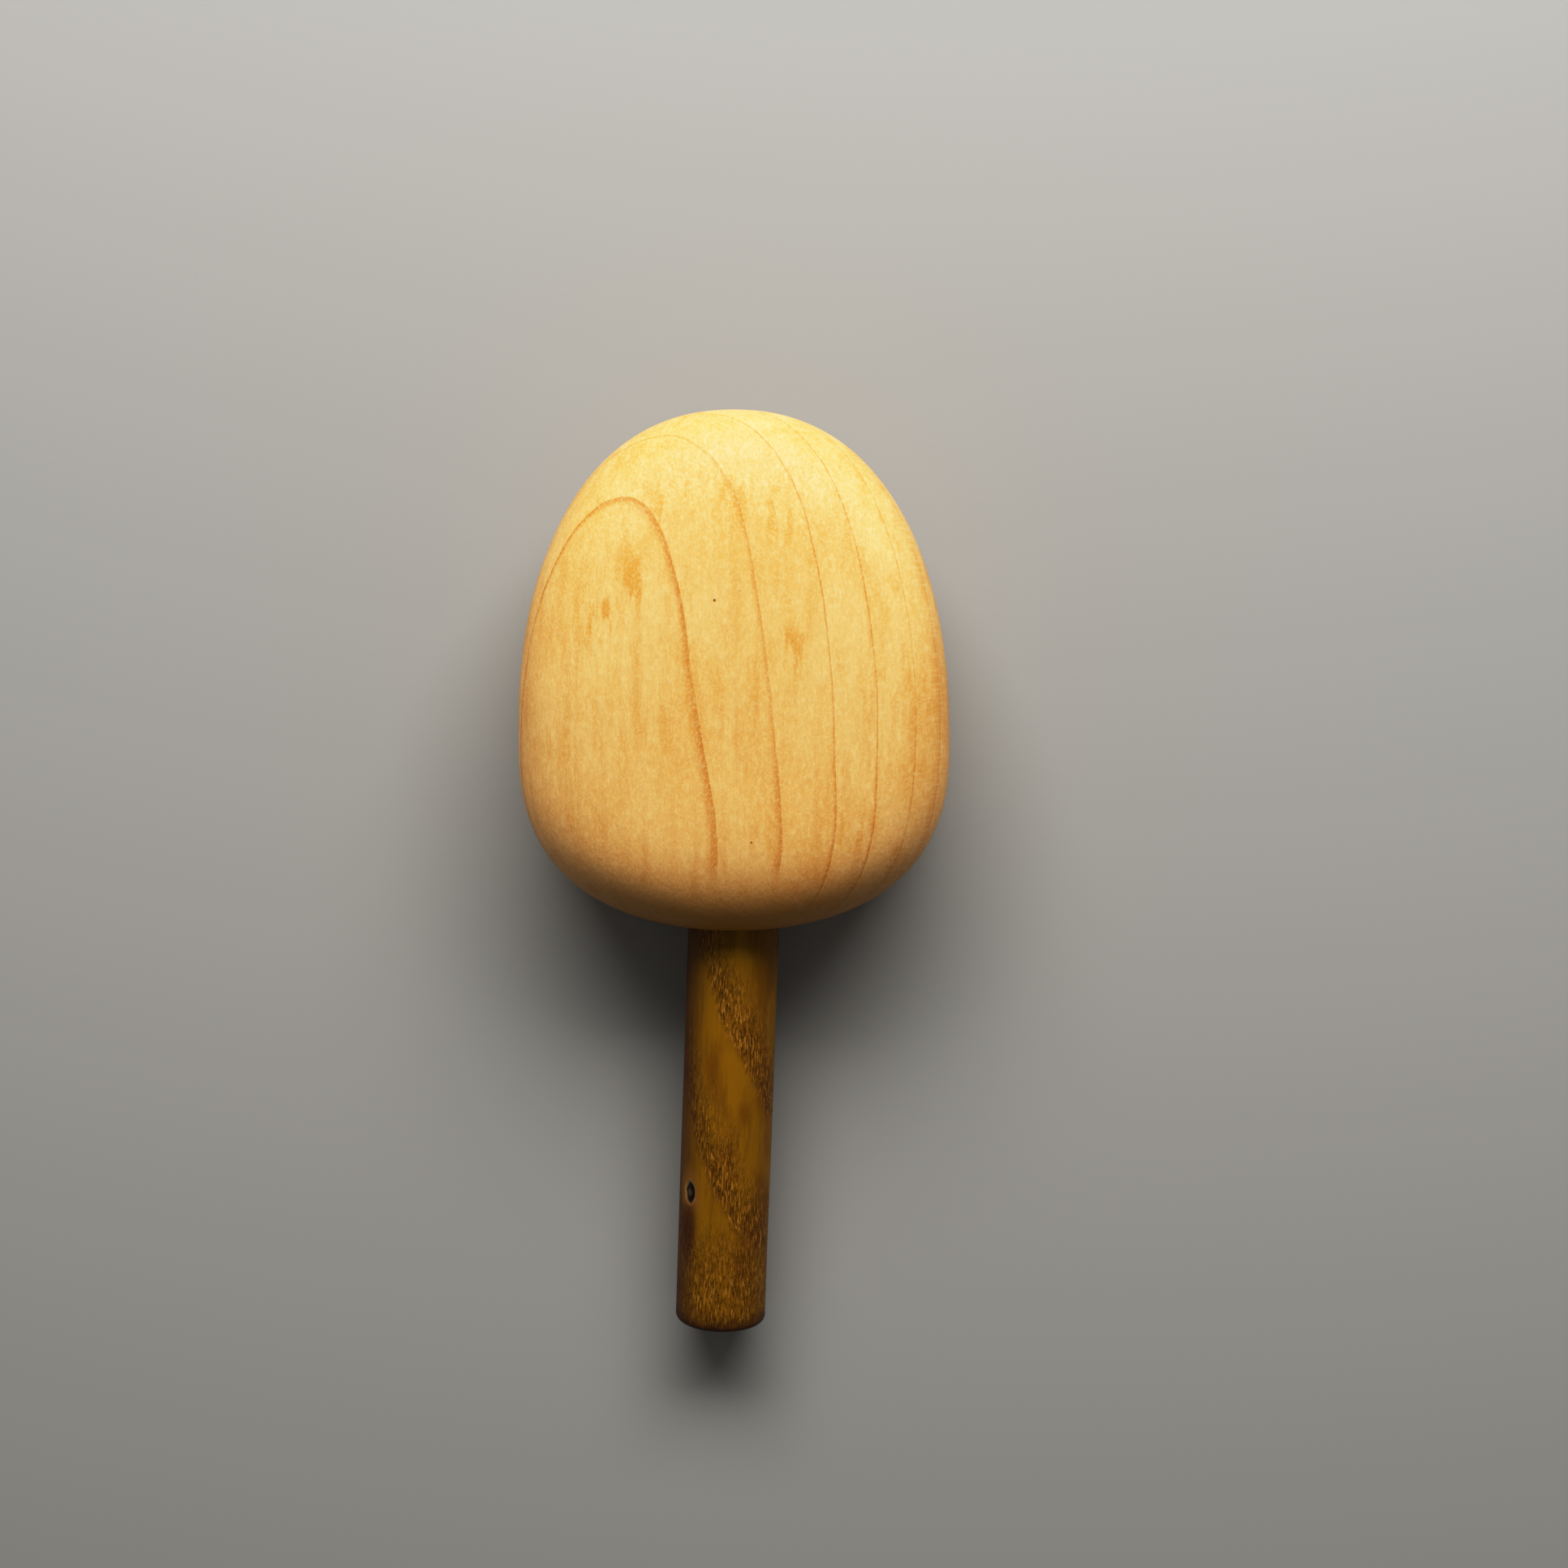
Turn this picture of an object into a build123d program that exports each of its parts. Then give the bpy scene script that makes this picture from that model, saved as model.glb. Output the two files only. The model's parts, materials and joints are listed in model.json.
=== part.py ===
from build123d import *
import os
from math import atan, cos, degrees, pi, radians, sin, sqrt

# A wooden baby rattle: a flattened egg of pale wood on a dark dowel handle.
# The head is two glued halves, front and rear, around a routed pocket that holds loose balls.
#
# Head frame, in which the pieces are made: origin on the head's axis at its widest line, +X to the
# right, +Y to the top of the head, +Z out of the front face. The glue line is the plane Z = 0.
# At the end everything is laid on its back: +Z is up, the rattle rests on the plane Z = 0, and the
# origin is under the middle of its box.

# Driving dimensions, mm and degrees
head_width = 62.0
head_above = 48.5  # widest line to the top of the head
head_below = 26.0  # widest line to the bottom of the head
head_depth = 30.0

outline_above_power = 2.28  # superellipse powers of the outline seen from the front
outline_below_power = 2.4
rear_section_power = 4.0  # cross-sections are nearly flat, with round edges
front_section_power = 3.6  # the same, in the middle of the front
front_end_section_power = 2.2  # the front's sections are rounder towards its two ends
boxiest_line = 8.0  # where the front's section has its middle power
front_flat_line = -1.0  # the front face is highest here
front_above_power = 2.8
front_below_power = 3.8
rear_power = 2.0  # the rear is a plain elliptic crown, end to end

handle_diameter = 13.3
handle_exposed = 59.2
handle_skew = 2.1  # the socket is drilled a little askew
skew_pivot = -20.0  # where the handle's axis crosses the head's axis
tip_round = 0.9
tenon_diameter = 12.8
tenon_length = 14.0
tenon_chamfer = 0.5

ball_diameter = 7.5
ball_count = 5
ball_gap = 0.5
wall_gap = 0.3
pocket_bottom = -10.5
pocket_top = 26.5
pocket_half_depth = 6.0

dowel_diameter = 4.0
dowel_length = 12.0
dowel_across = 25.5  # from the head's axis to each locating dowel
dowel_line = 4.0

station_count = 15  # cross-sections of the head
last_station = 86.0  # quarter-turn angle of the end sections, degrees
section_steps = 12

# Worked out
half_depth = head_depth / 2
head_middle = (head_above - head_below) / 2
head_half_length = (head_above + head_below) / 2
handle_radius = handle_diameter / 2
lane_pitch = ball_diameter + ball_gap
pocket_corner = ball_diameter / 2 + wall_gap
pocket_half_width = lane_pitch * (ball_count - 1) / 2 + pocket_corner
ball_travel = pocket_top - pocket_bottom - 2 * pocket_corner
skew = radians(handle_skew)


def superellipse(share, power):
    """Height of a unit superellipse at a share, -1 to 1, of its half-length."""
    return max(0.0, 1 - abs(share) ** power) ** (1 / power)


def half_width(y):
    """Half-width of the head at y on its axis."""
    if y > 0:
        return head_width / 2 * superellipse(y / head_above, outline_above_power)
    return head_width / 2 * superellipse(y / head_below, outline_below_power)


def front_depth(y):
    """Height of the front face over the glue line, on the head's axis."""
    rise = y - front_flat_line
    if rise > 0:
        return half_depth * superellipse(rise / (head_above - front_flat_line), front_above_power)
    return half_depth * superellipse(rise / (head_below + front_flat_line), front_below_power)


def rear_depth(y):
    """Depth of the rear crown under the glue line, on the head's axis."""
    return half_depth * superellipse((y - head_middle) / head_half_length, rear_power)


def section_power(side, y):
    """Superellipse power of the front's (side 1) or the rear's (side -1) cross-section at y."""
    if side < 0:
        return rear_section_power
    end = head_above if y > boxiest_line else -head_below
    share = (y - boxiest_line) / (end - boxiest_line)
    return front_section_power + (front_end_section_power - front_section_power) * share**1.5


def section_points(width, depth, power):
    """Half a superelliptic section, from its left edge over the face to its right edge."""
    points = []
    for step in range(section_steps + 1):
        turn = pi * step / section_steps
        across = width * abs(cos(turn)) ** (2 / power)
        height = depth * max(0.0, sin(turn)) ** (2 / power)
        points.append((-across if turn < pi / 2 else across, height))
    return points


stations = []
for number in range(station_count):
    turn = radians(last_station) * (2 * number / (station_count - 1) - 1)
    stations.append(head_middle + head_half_length * sin(turn))

# Planes and places. The handle's planes face along its axis, towards its tip.
seam = Plane.XY
pocket_centre = (0, (pocket_top + pocket_bottom) / 2)
dowel_places = ((-dowel_across, dowel_line), (dowel_across, dowel_line))
pivot_plane = Plane(origin=(0, skew_pivot, 0), x_dir=(0, 0, 1), z_dir=(-sin(skew), -cos(skew), 0))
shoulder_plane = pivot_plane.offset((head_below + skew_pivot) / cos(skew))
socket_plane = shoulder_plane.offset(-tenon_length)

pieces = []

# The two halves of the head, each with half of the pocket, half of the socket and two dowel holes
for name, side, depth_at in (("front_shell", 1, front_depth), ("rear_shell", -1, rear_depth)):
    with BuildPart() as shell:
        for y in stations:
            with BuildSketch(Plane(origin=(0, y, 0), x_dir=(1, 0, 0), z_dir=(0, -side, 0))):
                with BuildLine():
                    outline = section_points(half_width(y), depth_at(y), section_power(side, y))
                    face = Spline(*outline, tangents=((0, 1), (0, -1)))
                    Line(face @ 1, face @ 0)
                make_face()
        loft()
        with BuildSketch(seam):
            with Locations(pocket_centre):
                RectangleRounded(2 * pocket_half_width, pocket_top - pocket_bottom, pocket_corner)
        extrude(amount=side * pocket_half_depth, mode=Mode.SUBTRACT)
        with BuildSketch(socket_plane):
            Circle(tenon_diameter / 2)
        extrude(amount=2 * tenon_length, mode=Mode.SUBTRACT)
        with BuildSketch(seam):
            with Locations(*dowel_places):
                Circle(dowel_diameter / 2)
        extrude(amount=side * dowel_length / 2, mode=Mode.SUBTRACT)
    shell.part.label = name
    pieces.append(shell.part)

# The handle, whose glued end is sanded down to a tenon
with BuildPart() as handle:
    with BuildSketch(socket_plane):
        Circle(tenon_diameter / 2)
    extrude(amount=tenon_length)
    with BuildSketch(shoulder_plane):
        Circle(handle_radius)
    extrude(amount=handle_exposed)
    rims = handle.edges().filter_by(GeomType.CIRCLE).sort_by(Axis.Y)
    fillet(rims[0], radius=tip_round)
    chamfer(rims[-1], length=tenon_chamfer)
handle.part.label = "handle"
pieces.append(handle.part)

# Two dowels keep the halves in line while they are glued
for name, place in zip(("locating_dowel_left", "locating_dowel_right"), dowel_places):
    with BuildPart() as dowel:
        with BuildSketch(seam.offset(-dowel_length / 2)):
            with Locations(place):
                Circle(dowel_diameter / 2)
        extrude(amount=dowel_length)
    dowel.part.label = name
    pieces.append(dowel.part)

# The loose balls, side by side on the pocket's rear floor, rolled to the handle's end
ball_rest = pocket_bottom + pocket_corner
ball_height = wall_gap + ball_diameter / 2 - pocket_half_depth
for number in range(ball_count):
    lane = lane_pitch * (number - (ball_count - 1) / 2)
    ball_centre = Plane(origin=(lane, ball_rest, ball_height))
    with BuildPart() as ball:
        with BuildSketch(ball_centre):
            with BuildLine():
                CenterArc((0, 0), ball_diameter / 2, -90, 180)
                Line((0, ball_diameter / 2), (0, -ball_diameter / 2))
            make_face()
        revolve(axis=Axis((lane, ball_rest, ball_height), (0, 1, 0)))
    ball.part.label = f"rattle_ball_{number + 1}"
    pieces.append(ball.part)

# Laid on its back, the rattle touches the surface with its rear crown and with the handle's tip.
# The slope is that of the common tangent of the crown's ellipse and the tip's lower corner.
reach = head_middle + head_below + handle_exposed * cos(skew)
span_gap = reach**2 - head_half_length**2
root = sqrt((handle_radius * reach) ** 2 + span_gap * (half_depth**2 - handle_radius**2))
rest_angle = degrees(atan((root - handle_radius * reach) / span_gap))
tilt = Location((0, 0, 0), (rest_angle, 0, 0))
box = Compound(children=[piece.moved(tilt) for piece in pieces]).bounding_box()
lying = Location((-box.center().X, -box.center().Y, -box.min.Z)) * tilt

os.makedirs("parts", exist_ok=True)
for piece in pieces:
    placed = piece.moved(lying)
    placed.label = piece.label
    export_step(placed, f"parts/{piece.label}.step")

print(f"rest angle {rest_angle:.3f} degrees, ball travel {ball_travel:.2f} mm")
print(f"lying shift {lying.position}, box {box.size}")
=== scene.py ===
import json
from math import cos, pi, radians, sin, sqrt

import bmesh
import bpy
from mathutils import Matrix, Vector, noise


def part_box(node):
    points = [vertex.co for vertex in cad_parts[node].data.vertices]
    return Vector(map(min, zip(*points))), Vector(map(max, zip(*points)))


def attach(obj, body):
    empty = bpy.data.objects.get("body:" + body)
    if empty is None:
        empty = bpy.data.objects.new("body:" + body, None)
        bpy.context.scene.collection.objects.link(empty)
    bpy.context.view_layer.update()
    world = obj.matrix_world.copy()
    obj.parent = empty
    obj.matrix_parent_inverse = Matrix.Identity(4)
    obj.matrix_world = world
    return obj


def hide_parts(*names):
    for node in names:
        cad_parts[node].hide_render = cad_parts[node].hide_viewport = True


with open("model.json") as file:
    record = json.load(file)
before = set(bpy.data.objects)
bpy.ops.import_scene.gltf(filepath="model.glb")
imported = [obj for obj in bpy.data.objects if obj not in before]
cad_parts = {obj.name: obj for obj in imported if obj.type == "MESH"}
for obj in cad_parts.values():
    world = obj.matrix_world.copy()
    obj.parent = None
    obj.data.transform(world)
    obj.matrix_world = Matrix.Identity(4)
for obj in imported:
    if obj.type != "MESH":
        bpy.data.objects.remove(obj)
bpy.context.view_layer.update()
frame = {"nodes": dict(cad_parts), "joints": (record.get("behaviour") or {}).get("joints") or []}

# ---------------------------------------------------------------------------------------------
# Sizes, in millimetres and degrees. They repeat the CAD model's driving dimensions.
# ---------------------------------------------------------------------------------------------
MM = 0.001
HEAD_WIDTH = 62.0
HEAD_ABOVE = 48.5
HEAD_BELOW = 26.0
HEAD_DEPTH = 30.0
OUTLINE_ABOVE_POWER = 2.28
OUTLINE_BELOW_POWER = 2.4
REAR_SECTION_POWER = 4.0
FRONT_SECTION_POWER = 3.6
FRONT_END_SECTION_POWER = 2.2
BOXIEST_LINE = 8.0
FRONT_FLAT_LINE = -1.0
FRONT_ABOVE_POWER = 2.8
FRONT_BELOW_POWER = 3.8
REAR_POWER = 2.0

HANDLE_RADIUS = 6.65
HANDLE_SKEW = 2.1
SKEW_PIVOT = -20.0
HANDLE_EXPOSED = 59.2
TENON_RADIUS = 6.4
TENON_LENGTH = 14.0
COLLAR_DEPTH = 4.5  # the handle's full width goes this far into the head
TIP_ROUND = 0.9

# Knot on the handle: where it is round the handle and along it, and its size
KNOT_TURN = -50.0
KNOT_ALONG = -39.0
KNOT_HALF_LENGTH = 1.6
KNOT_HALF_WIDTH = 1.05

BALL_RADIUS = 3.75
LANE_PITCH = 8.0
LANE_COUNT = 5
WALL_GAP = 0.3
POCKET_BOTTOM = -10.5
POCKET_TOP = 26.5
POCKET_HALF_DEPTH = 6.0
DOWEL_RADIUS = 2.0
DOWEL_HALF_LENGTH = 6.0
DOWEL_ACROSS = 25.5
DOWEL_LINE = 4.0

head_middle = (HEAD_ABOVE - HEAD_BELOW) / 2
head_half_length = (HEAD_ABOVE + HEAD_BELOW) / 2
half_depth = HEAD_DEPTH / 2
skew = radians(HANDLE_SKEW)


def middle(node):
    """Centre of a CAD node's box."""
    low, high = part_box(node)
    return (Vector(low) + Vector(high)) / 2


# The head frame: origin on the head's axis at its widest line, +Y to the top, +Z out of the front.
# Its direction is that of the balls' lanes, and its place is midway between the two dowels.
head_axis = Vector(frame["joints"][0]["axis"]).normalized()
across_axis = Vector((1, 0, 0))
dowels_middle = (middle("locating_dowel_left") + middle("locating_dowel_right")) / 2
head_origin = dowels_middle - head_axis * DOWEL_LINE * MM
head_frame = Matrix.Translation(head_origin) @ Matrix(
    (across_axis, head_axis, across_axis.cross(head_axis))
).transposed().to_4x4()

# The handle frame: origin on the handle's axis where it leaves the head, +Y back into the head.
handle_turn = Matrix.Rotation(-skew, 4, "Z")
pivot = Matrix.Translation((0, SKEW_PIVOT * MM, 0))
leave = Matrix.Translation((0, -(HEAD_BELOW + SKEW_PIVOT) / cos(skew) * MM, 0))
handle_frame = head_frame @ pivot @ handle_turn @ leave


# ---------------------------------------------------------------------------------------------
# Shapes
# ---------------------------------------------------------------------------------------------
def superellipse(share, power):
    return max(0.0, 1 - abs(share) ** power) ** (1 / power)


def half_width(y):
    if y > 0:
        return HEAD_WIDTH / 2 * superellipse(y / HEAD_ABOVE, OUTLINE_ABOVE_POWER)
    return HEAD_WIDTH / 2 * superellipse(y / HEAD_BELOW, OUTLINE_BELOW_POWER)


def front_depth(y):
    rise = y - FRONT_FLAT_LINE
    if rise > 0:
        return half_depth * superellipse(rise / (HEAD_ABOVE - FRONT_FLAT_LINE), FRONT_ABOVE_POWER)
    return half_depth * superellipse(rise / (HEAD_BELOW + FRONT_FLAT_LINE), FRONT_BELOW_POWER)


def rear_depth(y):
    return half_depth * superellipse((y - head_middle) / head_half_length, REAR_POWER)


def new_object(name, mesh, place):
    """An object from a mesh in millimetres of a frame. The frame goes into the mesh's own points."""
    mesh.transform(place @ Matrix.Scale(MM, 4))
    obj = bpy.data.objects.new(name, mesh)
    bpy.context.scene.collection.objects.link(obj)
    return obj


def mesh_of(name, corners, faces):
    mesh = bpy.data.meshes.new(name)
    mesh.from_pydata(corners, [], faces)
    mesh.validate()
    return mesh


def section_power(side, y):
    """Superellipse power of the front's (side 1) or the rear's (side -1) cross-section at y."""
    if side < 0:
        return REAR_SECTION_POWER
    end = HEAD_ABOVE if y > BOXIEST_LINE else -HEAD_BELOW
    share = (y - BOXIEST_LINE) / (end - BOXIEST_LINE)
    return FRONT_SECTION_POWER + (FRONT_END_SECTION_POWER - FRONT_SECTION_POWER) * share**1.5


def bench_wobble(x, y, z):
    """Small unevenness that hand sanding leaves, in millimetres."""
    slow = noise.noise(Vector((x, y, z)) * 0.035 + Vector((3.1, 0.4, 7.7)))
    quick = noise.noise(Vector((x, y, z)) * 0.13 + Vector((9.2, 5.0, 1.3)))
    return 0.22 * slow + 0.05 * quick


STATIONS = 200
COLUMNS = 160


def half_of_head(name, side, depth_at):
    """One half of the head: its curved outside and the flat face on the glue line."""
    corners = []
    rows = []
    for station in range(STATIONS + 1):
        turn = pi * station / STATIONS - pi / 2
        y = head_middle + head_half_length * sin(turn)
        if station in (0, STATIONS):
            rows.append([len(corners)] * (COLUMNS + 1))
            corners.append((0, y, 0))
            continue
        width = half_width(y)
        depth = depth_at(y)
        power = section_power(side, y)
        rows.append(list(range(len(corners), len(corners) + COLUMNS + 1)))
        for column in range(COLUMNS + 1):
            turn = pi * column / COLUMNS
            reach = (abs(cos(turn)) ** power + abs(sin(turn)) ** power) ** (-1 / power)
            x = width * reach * cos(turn)
            z = side * depth * reach * sin(turn)
            grow = 1 + bench_wobble(x, y, z) / max(width, depth)
            corners.append((x * grow, y, z * grow if 0 < column < COLUMNS else 0.0))
    faces = []
    for low, high in zip(rows, rows[1:]):
        for a, b, c, d in zip(low, low[1:], high[1:], high):
            faces.append((a, b, c, d))
        faces.append((low[-1], low[0], high[0], high[-1]))
    faces = [tuple(dict.fromkeys(face))[::side] for face in faces]
    return mesh_of(name, corners, [face for face in faces if len(face) > 2])


def prism(outline, low, high, lift):
    """A straight solid between two levels; lift turns an outline point and a level into a corner."""
    count = len(outline)
    corners = [lift(point, low) for point in outline] + [lift(point, high) for point in outline]
    faces = [tuple(range(count))[::-1], tuple(range(count, 2 * count))]
    for index in range(count):
        after = (index + 1) % count
        faces.append((index, after, after + count, index + count))
    return mesh_of("cutter", corners, faces)


def circle(radius, centre=(0, 0), count=96):
    turns = [2 * pi * index / count for index in range(count)]
    return [(centre[0] + radius * cos(turn), centre[1] + radius * sin(turn)) for turn in turns]


def pocket_outline():
    """The routed pocket: straight sides, with corners of the router bit's radius."""
    corner = BALL_RADIUS + WALL_GAP
    half = LANE_PITCH * (LANE_COUNT - 1) / 2
    centres = (
        (half, POCKET_TOP - corner),
        (-half, POCKET_TOP - corner),
        (-half, POCKET_BOTTOM + corner),
        (half, POCKET_BOTTOM + corner),
    )
    outline = []
    for quarter, centre in enumerate(centres):
        for step in range(13):
            turn = pi / 2 * (quarter + step / 12)
            outline.append((centre[0] + corner * cos(turn), centre[1] + corner * sin(turn)))
    return outline


def upright(point, level):
    return (point[0], point[1], level)


def along_handle(point, level):
    return (point[0], level, -point[1])


def cut(target, cutters):
    """Takes the cutters out of the target's mesh and deletes them."""
    for cutter in cutters:
        modifier = target.modifiers.new("cut", "BOOLEAN")
        modifier.operation = "DIFFERENCE"
        modifier.solver = "EXACT"
        modifier.object = cutter
    bpy.context.view_layer.update()
    result = bpy.data.meshes.new_from_object(
        target.evaluated_get(bpy.context.evaluated_depsgraph_get())
    )
    target.modifiers.clear()
    target.data = result
    for cutter in cutters:
        bpy.data.objects.remove(cutter)


def smooth_within(obj, degrees_between):
    """Smooth shading, with faces that meet at more than an angle left sharp."""
    mesh = bmesh.new()
    mesh.from_mesh(obj.data)
    for face in mesh.faces:
        face.smooth = True
    for edge in mesh.edges:
        edge.smooth = len(edge.link_faces) == 2 and edge.calc_face_angle(0) < radians(degrees_between)
    mesh.to_mesh(obj.data)
    mesh.free()


def make_head_half(name, node, side, depth_at):
    half = new_object(name, half_of_head(name, side, depth_at), head_frame)
    pocket = prism(pocket_outline(), -POCKET_HALF_DEPTH, POCKET_HALF_DEPTH, upright)
    cutters = [new_object("pocket", pocket, head_frame)]
    for place in (-DOWEL_ACROSS, DOWEL_ACROSS):
        hole = prism(
            circle(DOWEL_RADIUS, (place, DOWEL_LINE), 48),
            -DOWEL_HALF_LENGTH,
            DOWEL_HALF_LENGTH,
            upright,
        )
        cutters.append(new_object("dowel_hole", hole, head_frame))
    socket = prism(circle(TENON_RADIUS), -2, TENON_LENGTH, along_handle)
    collar = prism(circle(HANDLE_RADIUS + 0.02), -4, COLLAR_DEPTH, along_handle)
    cutters.append(new_object("socket", socket, handle_frame))
    cutters.append(new_object("collar", collar, handle_frame))
    cut(half, cutters)
    smooth_within(half, 35)
    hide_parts(node)
    return half


front_half = make_head_half("front_half", "front_shell", 1, front_depth)
rear_half = make_head_half("rear_half", "rear_shell", -1, rear_depth)

def handle_surface(turn, y, radius):
    """A point at an angle from the handle's top towards +X, pushed about as sanding leaves it."""
    x = radius * sin(turn)
    z = radius * cos(turn)
    wobble = noise.noise(Vector((x * 0.16, y * 0.05, z * 0.16 + 4)))
    fine = noise.noise(Vector((x * 0.6, y * 0.12, z * 0.6 + 9)))
    push = 0.07 * wobble + 0.02 * fine
    # the knot's plug stands in a shallow dark groove
    away_turn = (turn - radians(KNOT_TURN) + pi) % (2 * pi) - pi
    along = (y - KNOT_ALONG) / KNOT_HALF_LENGTH
    round_ = away_turn * HANDLE_RADIUS / KNOT_HALF_WIDTH
    reach = sqrt(along * along + round_ * round_)
    if radius > HANDLE_RADIUS - 0.01 and reach < 1.8:
        groove = max(0.0, 1 - abs(reach - 0.8) / 0.42)
        dish = max(0.0, 1 - (reach / 1.8) ** 2)
        push -= 0.28 * groove * groove * (3 - 2 * groove) + 0.07 * dish
    share = (radius + push) / radius if radius > 0.01 else 1.0
    return (x * share, y, z * share)


def handle_profile():
    """Radius and place along the axis, from the middle of the tip to the middle of the tenon."""
    tip = -HANDLE_EXPOSED
    flat = HANDLE_RADIUS - TIP_ROUND
    profile = [(flat * step / 12, tip - 0.12 * (1 - (step / 12) ** 2)) for step in range(12)]
    for step in range(11):
        turn = pi / 2 * step / 10
        radius = flat + TIP_ROUND * sin(turn)
        profile.append((radius, tip + TIP_ROUND * (1 - cos(turn))))
    start = tip + TIP_ROUND
    steps = 300
    length = COLLAR_DEPTH - start
    profile += [(HANDLE_RADIUS, start + length * step / steps) for step in range(1, steps + 1)]
    profile += [(TENON_RADIUS, COLLAR_DEPTH), (TENON_RADIUS, TENON_LENGTH - 0.5)]
    profile += [(TENON_RADIUS - 0.5, TENON_LENGTH), (TENON_RADIUS / 2, TENON_LENGTH)]
    profile.append((0, TENON_LENGTH))
    return profile


def make_handle():
    around = 192
    corners = []
    rings = []
    for radius, y in handle_profile():
        if radius == 0:
            rings.append([len(corners)] * around)
            corners.append((0, y, 0))
            continue
        rings.append(list(range(len(corners), len(corners) + around)))
        for index in range(around):
            corners.append(handle_surface(2 * pi * index / around, y, radius))
    faces = []
    for low, high in zip(rings, rings[1:]):
        for a, b, c, d in zip(low, low[1:] + low[:1], high[1:] + high[:1], high):
            faces.append(tuple(dict.fromkeys((a, b, c, d))))
    handle = new_object("handle_dowel", mesh_of("handle_dowel", corners, faces), handle_frame)
    smooth_within(handle, 40)
    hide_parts("handle")
    return handle


handle = make_handle()


# ---------------------------------------------------------------------------------------------
# Materials
# ---------------------------------------------------------------------------------------------
class Graph:
    """Adds nodes to one material. An input that is a socket is linked, any other is a value."""

    def __init__(self, name):
        self.material = bpy.data.materials.new(name)
        self.material.use_nodes = True
        self.tree = self.material.node_tree
        self.shader = self.tree.nodes["Principled BSDF"]

    def node(self, kind, inputs=None, **settings):
        made = self.tree.nodes.new("ShaderNode" + kind)
        for key, value in settings.items():
            setattr(made, key, value)
        for key, value in (inputs or {}).items():
            self.put(made.inputs[key], value)
        return made

    def put(self, socket, value):
        if isinstance(value, bpy.types.NodeSocket):
            self.tree.links.new(value, socket)
        else:
            socket.default_value = value

    def math(self, operation, *values, clamp=False):
        made = self.node("Math", dict(enumerate(values)), operation=operation, use_clamp=clamp)
        return made.outputs[0]

    def vector(self, operation, *values):
        made = self.node("VectorMath", dict(enumerate(values)), operation=operation)
        return made.outputs["Value" if operation in ("LENGTH", "DISTANCE") else "Vector"]

    def millimetres(self, frame_matrix):
        """The point's place in a frame, in millimetres. Pieces have their points in the row frame."""
        inputs = {
            "Vector": self.node("TexCoord").outputs["Object"],
            "Location": frame_matrix.translation,
            "Rotation": frame_matrix.to_euler(),
            "Scale": (MM, MM, MM),
        }
        return self.node("Mapping", inputs, vector_type="TEXTURE").outputs[0]

    def split(self, vector):
        return self.node("SeparateXYZ", {0: vector}).outputs

    def join(self, x, y, z):
        return self.node("CombineXYZ", {0: x, 1: y, 2: z}).outputs[0]

    def noise(self, vector, scale, stretch=(1, 1, 1), detail=2.0, rough=0.5, seed=0.0):
        """Noise from 0 to 1 whose features are 1 / (scale * stretch) mm across."""
        placed = self.node(
            "Mapping", {"Vector": vector, "Location": (seed, seed, seed), "Scale": stretch}
        ).outputs[0]
        made = self.node(
            "TexNoise", {"Vector": placed, "Scale": scale, "Detail": detail, "Roughness": rough}
        )
        return made.outputs["Fac"]

    def range(self, value, low, high, to_low=0.0, to_high=1.0, smooth=True):
        made = self.node(
            "MapRange",
            {"Value": value, "From Min": low, "From Max": high, "To Min": to_low, "To Max": to_high},
            interpolation_type="SMOOTHSTEP" if smooth else "LINEAR",
        )
        return made.outputs["Result"]

    def mix(self, share, first, second):
        made = self.node("Mix", data_type="RGBA")
        self.put(made.inputs[0], share)
        self.put(made.inputs[6], first)
        self.put(made.inputs[7], second)
        return made.outputs[2]

    def bump(self, height, distance, strength):
        inputs = {"Height": height, "Distance": distance * MM, "Strength": strength}
        return self.node("Bump", inputs).outputs[0]


def colour(red, green, blue):
    return (red, green, blue, 1.0)


# Growth rings are round a pith line in front of the head and to its left, which bends with y. It is
# placed so that the rings meet the front in the right lines, and depends on the shape of the front.
PITH_X = (-45.17, 0.205, -0.00629)
PITH_Z = (108.6, 0.161, -0.00465)
# Growth rings: distance from the pith, thickness of the late wood, strength of its colour, and
# the height at which its line runs out
RINGS = (
    (102.31, 0.42, 0.95, -15.8),
    (106.65, 0.32, 0.9, -15.5),
    (111.09, 0.20, 0.9, -30.0),
    (114.99, 0.18, 1.0, -30.0),
    (119.46, 0.20, 0.8, -30.0),
    (123.80, 0.18, 0.9, -30.0),
    (128.1, 0.18, 0.8, -30.0),
    (132.3, 0.20, 0.9, -30.0),
    (136.6, 0.20, 0.8, -30.0),
    (141.0, 0.20, 0.9, -30.0),
    (145.5, 0.20, 0.8, -30.0),
)
MEAN_RING = 110.0  # turns an angle round the pith into a length

# Where orange flecks gather on the front: place across and up the head, and reach
FLECK_GROUPS = (
    (-8.0, 35.0, 5.0),
    (0.0, 35.5, 4.0),
    (7.0, 33.0, 4.5),
    (-13.5, 24.5, 4.5),
    (-18.5, 20.0, 5.5),
    (8.0, 13.0, 5.0),
    (17.5, -10.0, 4.0),
)
PAINTED_SHADE_FROM = -11.0  # below this height the pale wood is darkened towards the handle as painted shade

# Small dark marks on the front: place across and up the head, and radius
SPECKS = ((-2.4, 21.4, 0.28), (24.0, -18.8, 0.6), (2.6, -12.0, 0.2))


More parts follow.
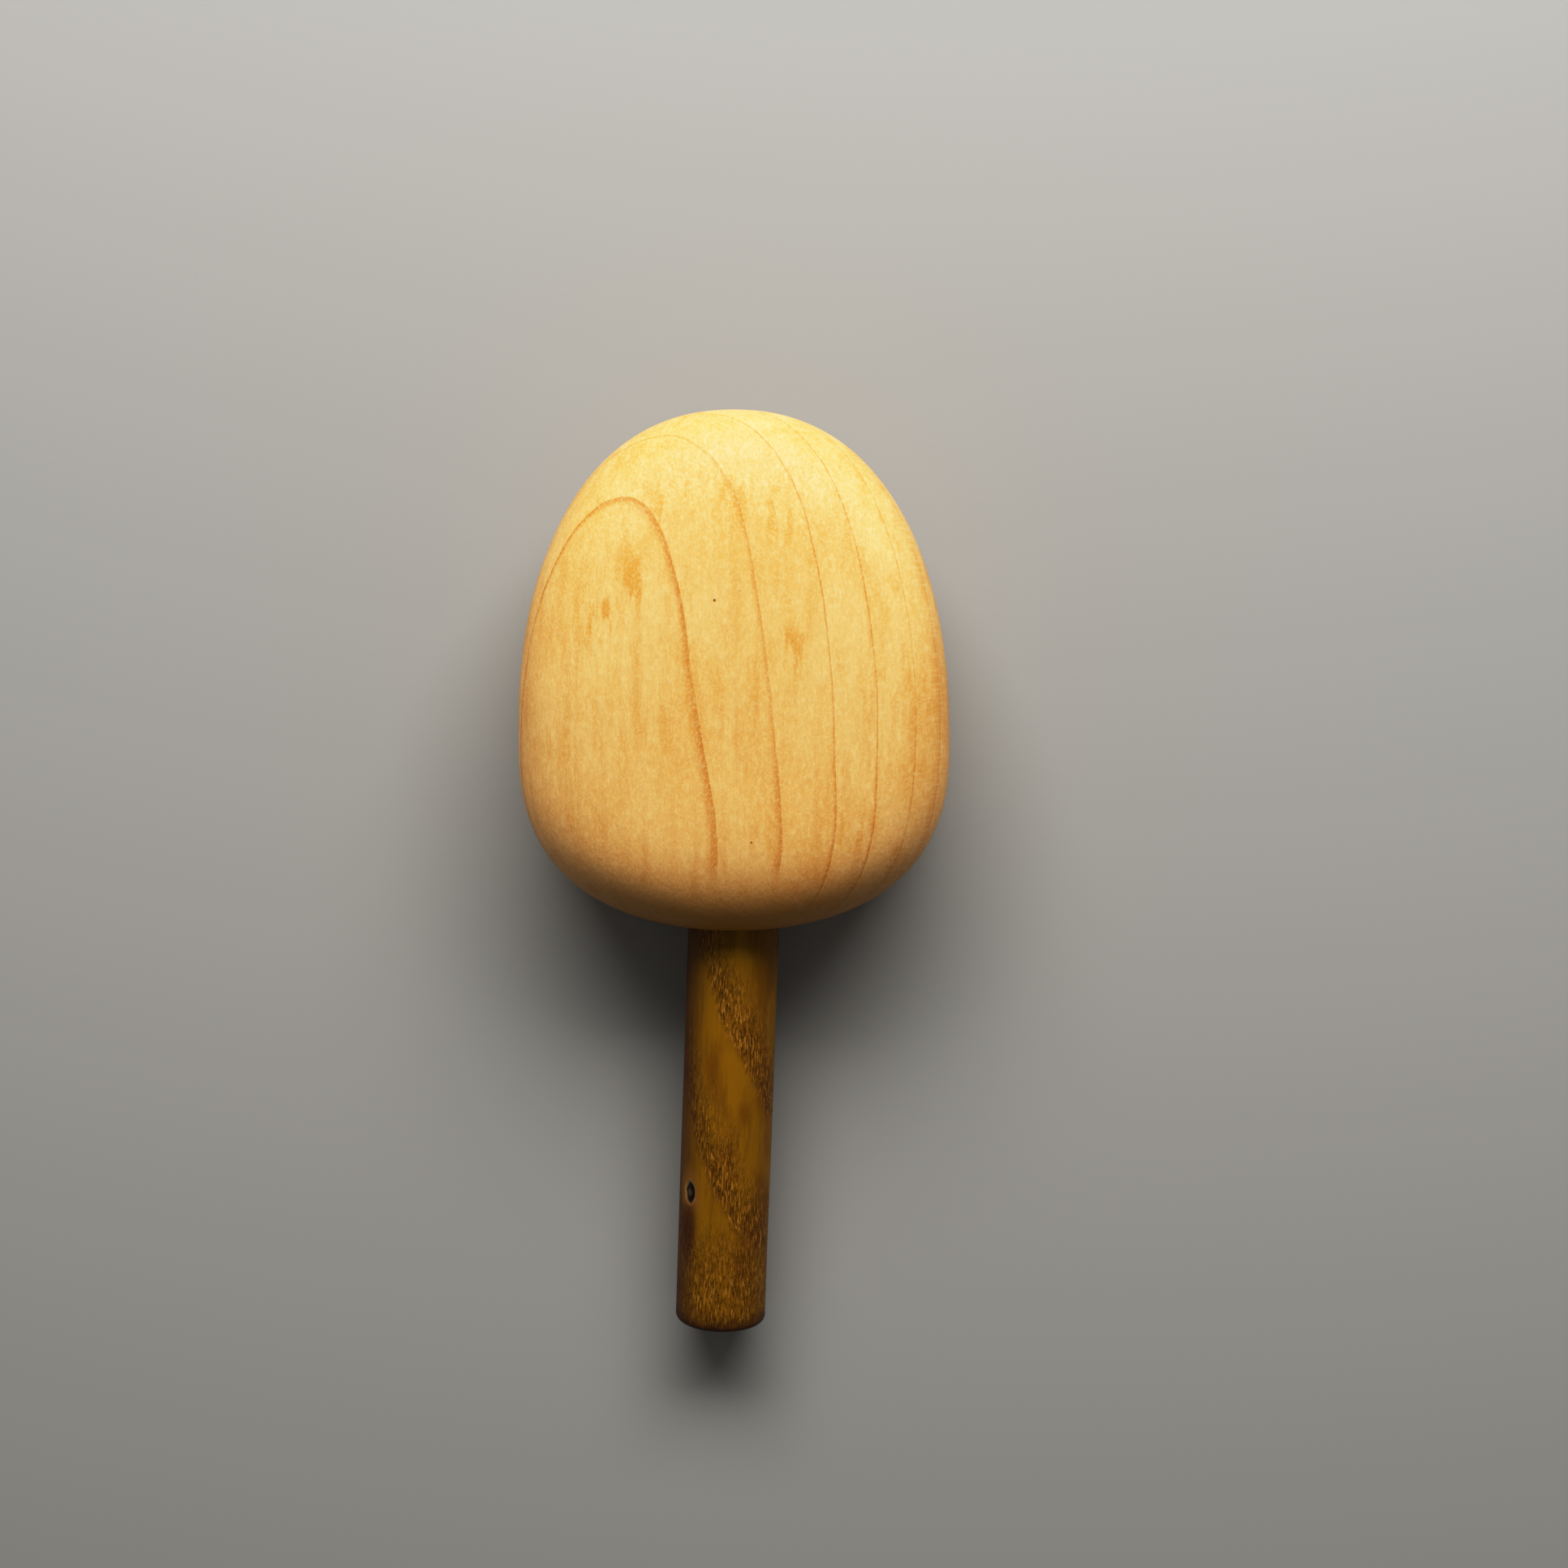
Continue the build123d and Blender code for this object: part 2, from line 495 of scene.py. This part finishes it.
def pale_wood():
    """Oiled maple: wide growth rings with thin orange late wood, soft flecks and short rays."""
    g = Graph("pale_wood")
    place = g.millimetres(head_frame)
    x, y, z = g.split(place)[:3]

    def bend(terms):
        start, slope, curve = terms
        straight = g.math("MULTIPLY_ADD", y, slope, start)
        return g.math("MULTIPLY_ADD", g.math("MULTIPLY", y, y), curve, straight)

    from_pith_x = g.math("SUBTRACT", x, bend(PITH_X))
    from_pith_z = g.math("SUBTRACT", z, bend(PITH_Z))
    radius = g.vector("LENGTH", g.join(from_pith_x, from_pith_z, 0.0))
    waver = g.noise(place, 0.16, (1, 0.45, 1), detail=4.0, seed=5.0)
    radius = g.math("ADD", radius, g.range(waver, 0.2, 0.8, -0.14, 0.14, smooth=False))
    turn = g.math("ARCTAN2", from_pith_x, from_pith_z)
    round_ = g.math("MULTIPLY", turn, MEAN_RING)
    polar = g.join(radius, y, round_)

    # broad tone, from cream to honey, and cream mottling in it
    clouds = g.noise(place, 0.06, (1, 0.6, 1), detail=3.0, seed=2.0)
    tone = g.mix(g.range(clouds, 0.35, 0.65), colour(0.87, 0.53, 0.205), colour(0.81, 0.44, 0.135))
    mottle = g.noise(place, 1.2, (1, 0.5, 1), detail=5.0, rough=0.7, seed=40.0)
    tone = g.mix(g.range(mottle, 0.44, 0.68, 0.0, 0.45), tone, colour(0.93, 0.64, 0.30))
    streaks = g.noise(place, 0.55, (1, 0.10, 1), detail=4.0, rough=0.6, seed=8.0)
    tone = g.mix(g.range(streaks, 0.45, 0.75, 0.0, 0.6), tone, colour(0.70, 0.34, 0.08))

    # orange flecks, long with the grain, in loose groups
    flecks = g.noise(place, 0.6, (1, 0.20, 1), detail=4.0, rough=0.6, seed=14.0)
    where = g.range(g.noise(place, 0.06, seed=31.0), 0.45, 0.65, 0.0, 0.4)
    drawn_out = 0.6  # groups are longer up the head than across it
    spot = g.join(x, g.math("MULTIPLY", y, drawn_out), 0.0)
    for across, up, size in FLECK_GROUPS:
        away = g.vector("DISTANCE", spot, (across, up * drawn_out, 0.0))
        where = g.math("MAXIMUM", where, g.range(away, size * 0.2, size, 1.0, 0.0))
    amount = g.math("MULTIPLY", g.range(flecks, 0.46, 0.60), where)
    tone = g.mix(amount, tone, colour(0.71, 0.32, 0.05))

    # late wood: darker towards the ring's outer edge, where it stops short
    strength = g.noise(place, 0.06, (1, 0.6, 1), detail=2.0, seed=20.0)
    strength = g.range(strength, 0.34, 0.55, 0.55, 1.0)
    late = 0.0
    haze = 0.0
    for ring, thickness, share, end in RINGS:
        shown = g.range(y, end - 1.5, end + 0.8, 0.0, share)
        broader = g.range(y, -16.0, 10.0, 2.2, 1.0)
        inner = g.math("SUBTRACT", ring, g.math("MULTIPLY", broader, thickness))
        rise = g.range(radius, inner, ring, 0.0, 1.0)
        fall = g.range(radius, ring, ring + 0.06, 1.0, 0.0, smooth=False)
        line = g.math("MULTIPLY", g.math("MULTIPLY", rise, fall), shown)
        late = g.math("MAXIMUM", late, line)
        fade = g.math("MULTIPLY", g.range(radius, ring - 2.4, ring, 0.0, 1.0), fall)
        haze = g.math("MAXIMUM", haze, g.math("MULTIPLY", fade, shown))
    patchy = g.math("MULTIPLY", haze, g.range(streaks, 0.35, 0.65, 0.05, 0.45))
    tone = g.mix(patchy, tone, colour(0.72, 0.34, 0.07))
    late = g.math("MULTIPLY", late, strength)
    tone = g.mix(late, tone, colour(0.57, 0.22, 0.025))

    # short rays: thin, and long towards the pith, so that they show as bars on the side edges
    rays = g.noise(polar, 1.0, (0.30, 2.4, 3.5), detail=2.0, seed=3.0)
    tone = g.mix(g.range(rays, 0.4, 0.7, 0.0, 0.35), tone, colour(0.93, 0.66, 0.33))
    fibres = g.noise(place, 3.2, (1, 0.22, 1), detail=3.0, rough=0.6, seed=6.0)
    tone = g.mix(g.range(fibres, 0.35, 0.7, 0.22, 0.0), tone, colour(0.52, 0.24, 0.05))

    # painted shade: the colour darkens towards the handle, because without this the lower end, which
    # turns from the light, renders too bright, and whether the cause is the wood, the shape or the
    # light isn't known
    painted_lower_shade = g.range(y, -HEAD_BELOW, PAINTED_SHADE_FROM, 0.9, 0.0)
    tone = g.mix(painted_lower_shade, tone, colour(0.34, 0.145, 0.008))
    on_front = g.range(z, 5.0, 7.0, 0.0, 0.85)
    for across, up, size in SPECKS:
        away = g.vector("DISTANCE", g.join(x, y, 0.0), (across, up, 0.0))
        mark = g.math("MULTIPLY", g.range(away, size * 0.4, size, 1.0, 0.0), on_front)
        tone = g.mix(mark, tone, colour(0.12, 0.03, 0.01))

    g.put(g.shader.inputs["Base Color"], tone)
    g.put(g.shader.inputs["Roughness"], g.range(fibres, 0.3, 0.7, 0.52, 0.42))
    g.shader.inputs["Specular IOR Level"].default_value = 0.35
    grain = g.math("MULTIPLY_ADD", fibres, 0.7, g.math("MULTIPLY", mottle, 1.2))
    g.put(g.shader.inputs["Normal"], g.bump(grain, 0.10, 0.6))
    return g.material


LAYER = 24.5  # growth layers of the handle's wood, measured along the handle


def dark_wood():
    """Oiled ring-porous wood: slanting layers, open at one side and golden at the other; a knot."""
    g = Graph("dark_wood")
    place = g.millimetres(handle_frame)
    x, y, z = g.split(place)[:3]

    # growth layers cross the dowel at a slant; each starts with open pores and ends smooth
    slant = g.math("MULTIPLY_ADD", x, 2.1, y)
    slant = g.math("MULTIPLY_ADD", z, 0.5, slant)
    warp = g.noise(place, 0.16, (1, 0.5, 1), detail=3.0, seed=4.0)
    slant = g.math("ADD", slant, g.range(warp, 0.2, 0.8, -3.5, 3.5, smooth=False))
    layer = g.math("FRACT", g.math("MULTIPLY_ADD", slant, 1 / LAYER, 14.0 / LAYER))
    porous = g.math("MULTIPLY", g.range(layer, 0.0, 0.16), g.range(layer, 0.15, 0.72, 1.0, 0.0))
    porous = g.math("MAXIMUM", porous, g.range(y, -52.0, -40.0, 0.75, 0.0))
    tone = g.mix(porous, colour(0.285, 0.142, 0.002), colour(0.225, 0.10, 0.002))
    cloud = g.noise(place, 0.22, (1, 0.35, 1), detail=3.0, seed=11.0)
    tone = g.mix(g.range(cloud, 0.45, 0.7, 0.0, 0.6), tone, colour(0.15, 0.048, 0.002))
    lines = g.noise(place, 1.6, (1, 0.07, 1), detail=5.0, rough=0.7, seed=17.0)
    tone = g.mix(g.range(lines, 0.45, 0.72, 0.0, 0.5), tone, colour(0.12, 0.042, 0.002))

    # pores: short slots along the grain, dark, or pale where they hold dust
    pores = g.noise(place, 4.6, (1, 0.16, 1), detail=2.0, rough=0.5, seed=23.0)
    slots = g.math("MULTIPLY", g.range(pores, 0.50, 0.60), porous)
    tone = g.mix(g.math("MULTIPLY", slots, 0.65), tone, colour(0.08, 0.022, 0.001))
    dust = g.noise(place, 4.6, (1, 0.16, 1), detail=2.0, rough=0.5, seed=41.0)
    dusty = g.math("MULTIPLY", g.range(dust, 0.53, 0.62), porous)
    tone = g.mix(g.math("MULTIPLY", dusty, 0.75), tone, colour(0.48, 0.25, 0.03))

    # painted shade: the handle's left side is darker and redder, as the side turned from the light
    painted_side_shade = g.range(x, -6.6, -2.8, 0.75, 0.0)
    tone = g.mix(painted_side_shade, tone, colour(0.085, 0.022, 0.003))

    # the knot, seen by its distance round and along the handle
    turn = g.math("ARCTAN2", x, z)
    round_ = g.math("MULTIPLY", g.math("SUBTRACT", turn, radians(KNOT_TURN)), HANDLE_RADIUS)
    along = g.math("SUBTRACT", y, KNOT_ALONG)
    shake = g.noise(place, 1.2, seed=50.0)
    reach = g.vector(
        "LENGTH",
        g.join(
            g.math("MULTIPLY", round_, 1 / KNOT_HALF_WIDTH),
            g.math("MULTIPLY", along, 1 / KNOT_HALF_LENGTH),
            0.0,
        ),
    )
    reach = g.math("ADD", reach, g.range(shake, 0.2, 0.8, -0.15, 0.15, smooth=False))
    tone = g.mix(g.range(reach, 1.2, 3.0, 0.65, 0.0), tone, colour(0.30, 0.14, 0.02))
    tone = g.mix(g.range(reach, 1.0, 1.45, 0.7, 0.0), tone, colour(0.42, 0.28, 0.11))
    tone = g.mix(g.range(reach, 0.85, 1.05, 1.0, 0.0), tone, colour(0.008, 0.006, 0.005))
    tone = g.mix(g.range(reach, 0.15, 0.5, 0.8, 0.0), tone, colour(0.12, 0.10, 0.06))
    below = g.join(g.math("MULTIPLY", round_, 0.5), g.math("MULTIPLY_ADD", along, 0.16, 0.8), 0.0)
    streak = g.range(g.vector("LENGTH", below), 0.3, 1.1, 0.8, 0.0)
    tone = g.mix(streak, tone, colour(0.08, 0.018, 0.003))

    # the tip's rim is darker, and deepened with painted shade where the end turns from the light
    rim_and_painted_shade = g.range(y, -HANDLE_EXPOSED, 3.4 - HANDLE_EXPOSED, 0.95, 0.0)
    tone = g.mix(rim_and_painted_shade, tone, colour(0.055, 0.015, 0.003))

    g.put(g.shader.inputs["Base Color"], tone)
    g.put(g.shader.inputs["Roughness"], g.range(lines, 0.3, 0.7, 0.42, 0.55))
    g.shader.inputs["Specular IOR Level"].default_value = 0.18
    height = g.math("SUBTRACT", g.math("MULTIPLY", lines, 0.3), g.math("MULTIPLY", slots, 1.0))
    g.put(g.shader.inputs["Normal"], g.bump(height, 0.16, 0.8))
    return g.material


def inner_wood():
    """Plain beech for the balls and the locating dowels, with its small dark flecks."""
    g = Graph("inner_wood")
    place = g.millimetres(head_frame)
    rings = g.noise(place, 0.6, (1, 0.15, 1), detail=3.0, seed=1.0)
    tone = g.mix(g.range(rings, 0.3, 0.7), colour(0.66, 0.44, 0.22), colour(0.55, 0.33, 0.14))
    flecks = g.noise(place, 3.0, (1, 0.25, 1), detail=2.0, seed=7.0)
    tone = g.mix(g.range(flecks, 0.6, 0.7, 0.0, 0.6), tone, colour(0.32, 0.16, 0.06))
    g.put(g.shader.inputs["Base Color"], tone)
    g.put(g.shader.inputs["Roughness"], g.range(rings, 0.3, 0.7, 0.6, 0.5))
    g.put(g.shader.inputs["Normal"], g.bump(flecks, 0.03, 0.4))
    return g.material


def dress(obj, material, body):
    """Gives a piece its finish and lets it ride on its body."""
    obj.data.materials.clear()
    obj.data.materials.append(material)
    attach(obj, body)


maple = pale_wood()
walnut = dark_wood()
beech = inner_wood()
dress(front_half, maple, "rattle")
dress(rear_half, maple, "rattle")
dress(handle, walnut, "rattle")
for name, node in frame["nodes"].items():
    if name.startswith(("rattle_ball", "locating_dowel")):
        node.data.materials.clear()
        node.data.materials.append(beech)


# ---------------------------------------------------------------------------------------------
# Floor, light and camera
# ---------------------------------------------------------------------------------------------
def make_floor():
    size = 3.0
    mesh = bpy.data.meshes.new("floor")
    corners = [(-size, -size, 0), (size, -size, 0), (size, size, 0), (-size, size, 0)]
    mesh.from_pydata(corners, [], [(0, 1, 2, 3)])
    floor = bpy.data.objects.new("floor", mesh)
    bpy.context.scene.collection.objects.link(floor)
    g = Graph("floor")
    g.shader.inputs["Base Color"].default_value = colour(0.33, 0.328, 0.318)
    g.shader.inputs["Roughness"].default_value = 0.9
    mesh.materials.append(g.material)


def soft_light(name, place, aim, width, height, power, tint=(1, 1, 1)):
    data = bpy.data.lights.new(name, "AREA")
    data.shape = "RECTANGLE"
    data.size = width
    data.size_y = height
    data.energy = power
    data.color = tint
    lamp = bpy.data.objects.new(name, data)
    bpy.context.scene.collection.objects.link(lamp)
    lamp.location = place
    lamp.rotation_euler = (Vector(aim) - Vector(place)).to_track_quat("-Z", "Y").to_euler()


CAMERA_HEIGHT = 0.2993
CAMERA_ASIDE = 0.00715
CAMERA_BELOW_LINE = 0.00517  # the view's middle is this far below the head's widest line
LENS = 45.0


def make_camera():
    data = bpy.data.cameras.new("camera")
    data.sensor_width = 36.0
    data.lens = LENS
    data.clip_start = 0.01
    camera = bpy.data.objects.new("camera", data)
    bpy.context.scene.collection.objects.link(camera)
    camera.location = (CAMERA_ASIDE, head_origin.y - CAMERA_BELOW_LINE, CAMERA_HEIGHT)
    bpy.context.scene.camera = camera


make_floor()
make_camera()
target = (0, 0.01, 0.01)
soft_light("window", (0.03, 0.44, 0.36), target, 0.7, 0.26, 5.9, (1.0, 0.985, 0.96))

world = bpy.data.worlds.new("world")
bpy.context.scene.world = world
world.use_nodes = True
world.node_tree.nodes["Background"].inputs[0].default_value = (1.0, 0.97, 0.92, 1.0)
world.node_tree.nodes["Background"].inputs[1].default_value = 0.20

# Tone: scene light against shown light, a soft curve with deep shadows and a rounded shoulder
TONE_WHITE = 2.0
TONE_POINTS = (
    (0.06, 0.03),
    (0.14, 0.085),
    (0.25, 0.19),
    (0.40, 0.37),
    (0.60, 0.60),
    (0.90, 0.83),
    (1.30, 0.96),
)


def set_tone():
    view = bpy.context.scene.view_settings
    view.view_transform = "Standard"
    view.use_curve_mapping = True
    mapping = view.curve_mapping
    mapping.white_level = (TONE_WHITE, TONE_WHITE, TONE_WHITE)
    curve = mapping.curves[3]
    for scene_light, shown in TONE_POINTS:
        curve.points.new(scene_light / TONE_WHITE, shown)
    mapping.update()


set_tone()
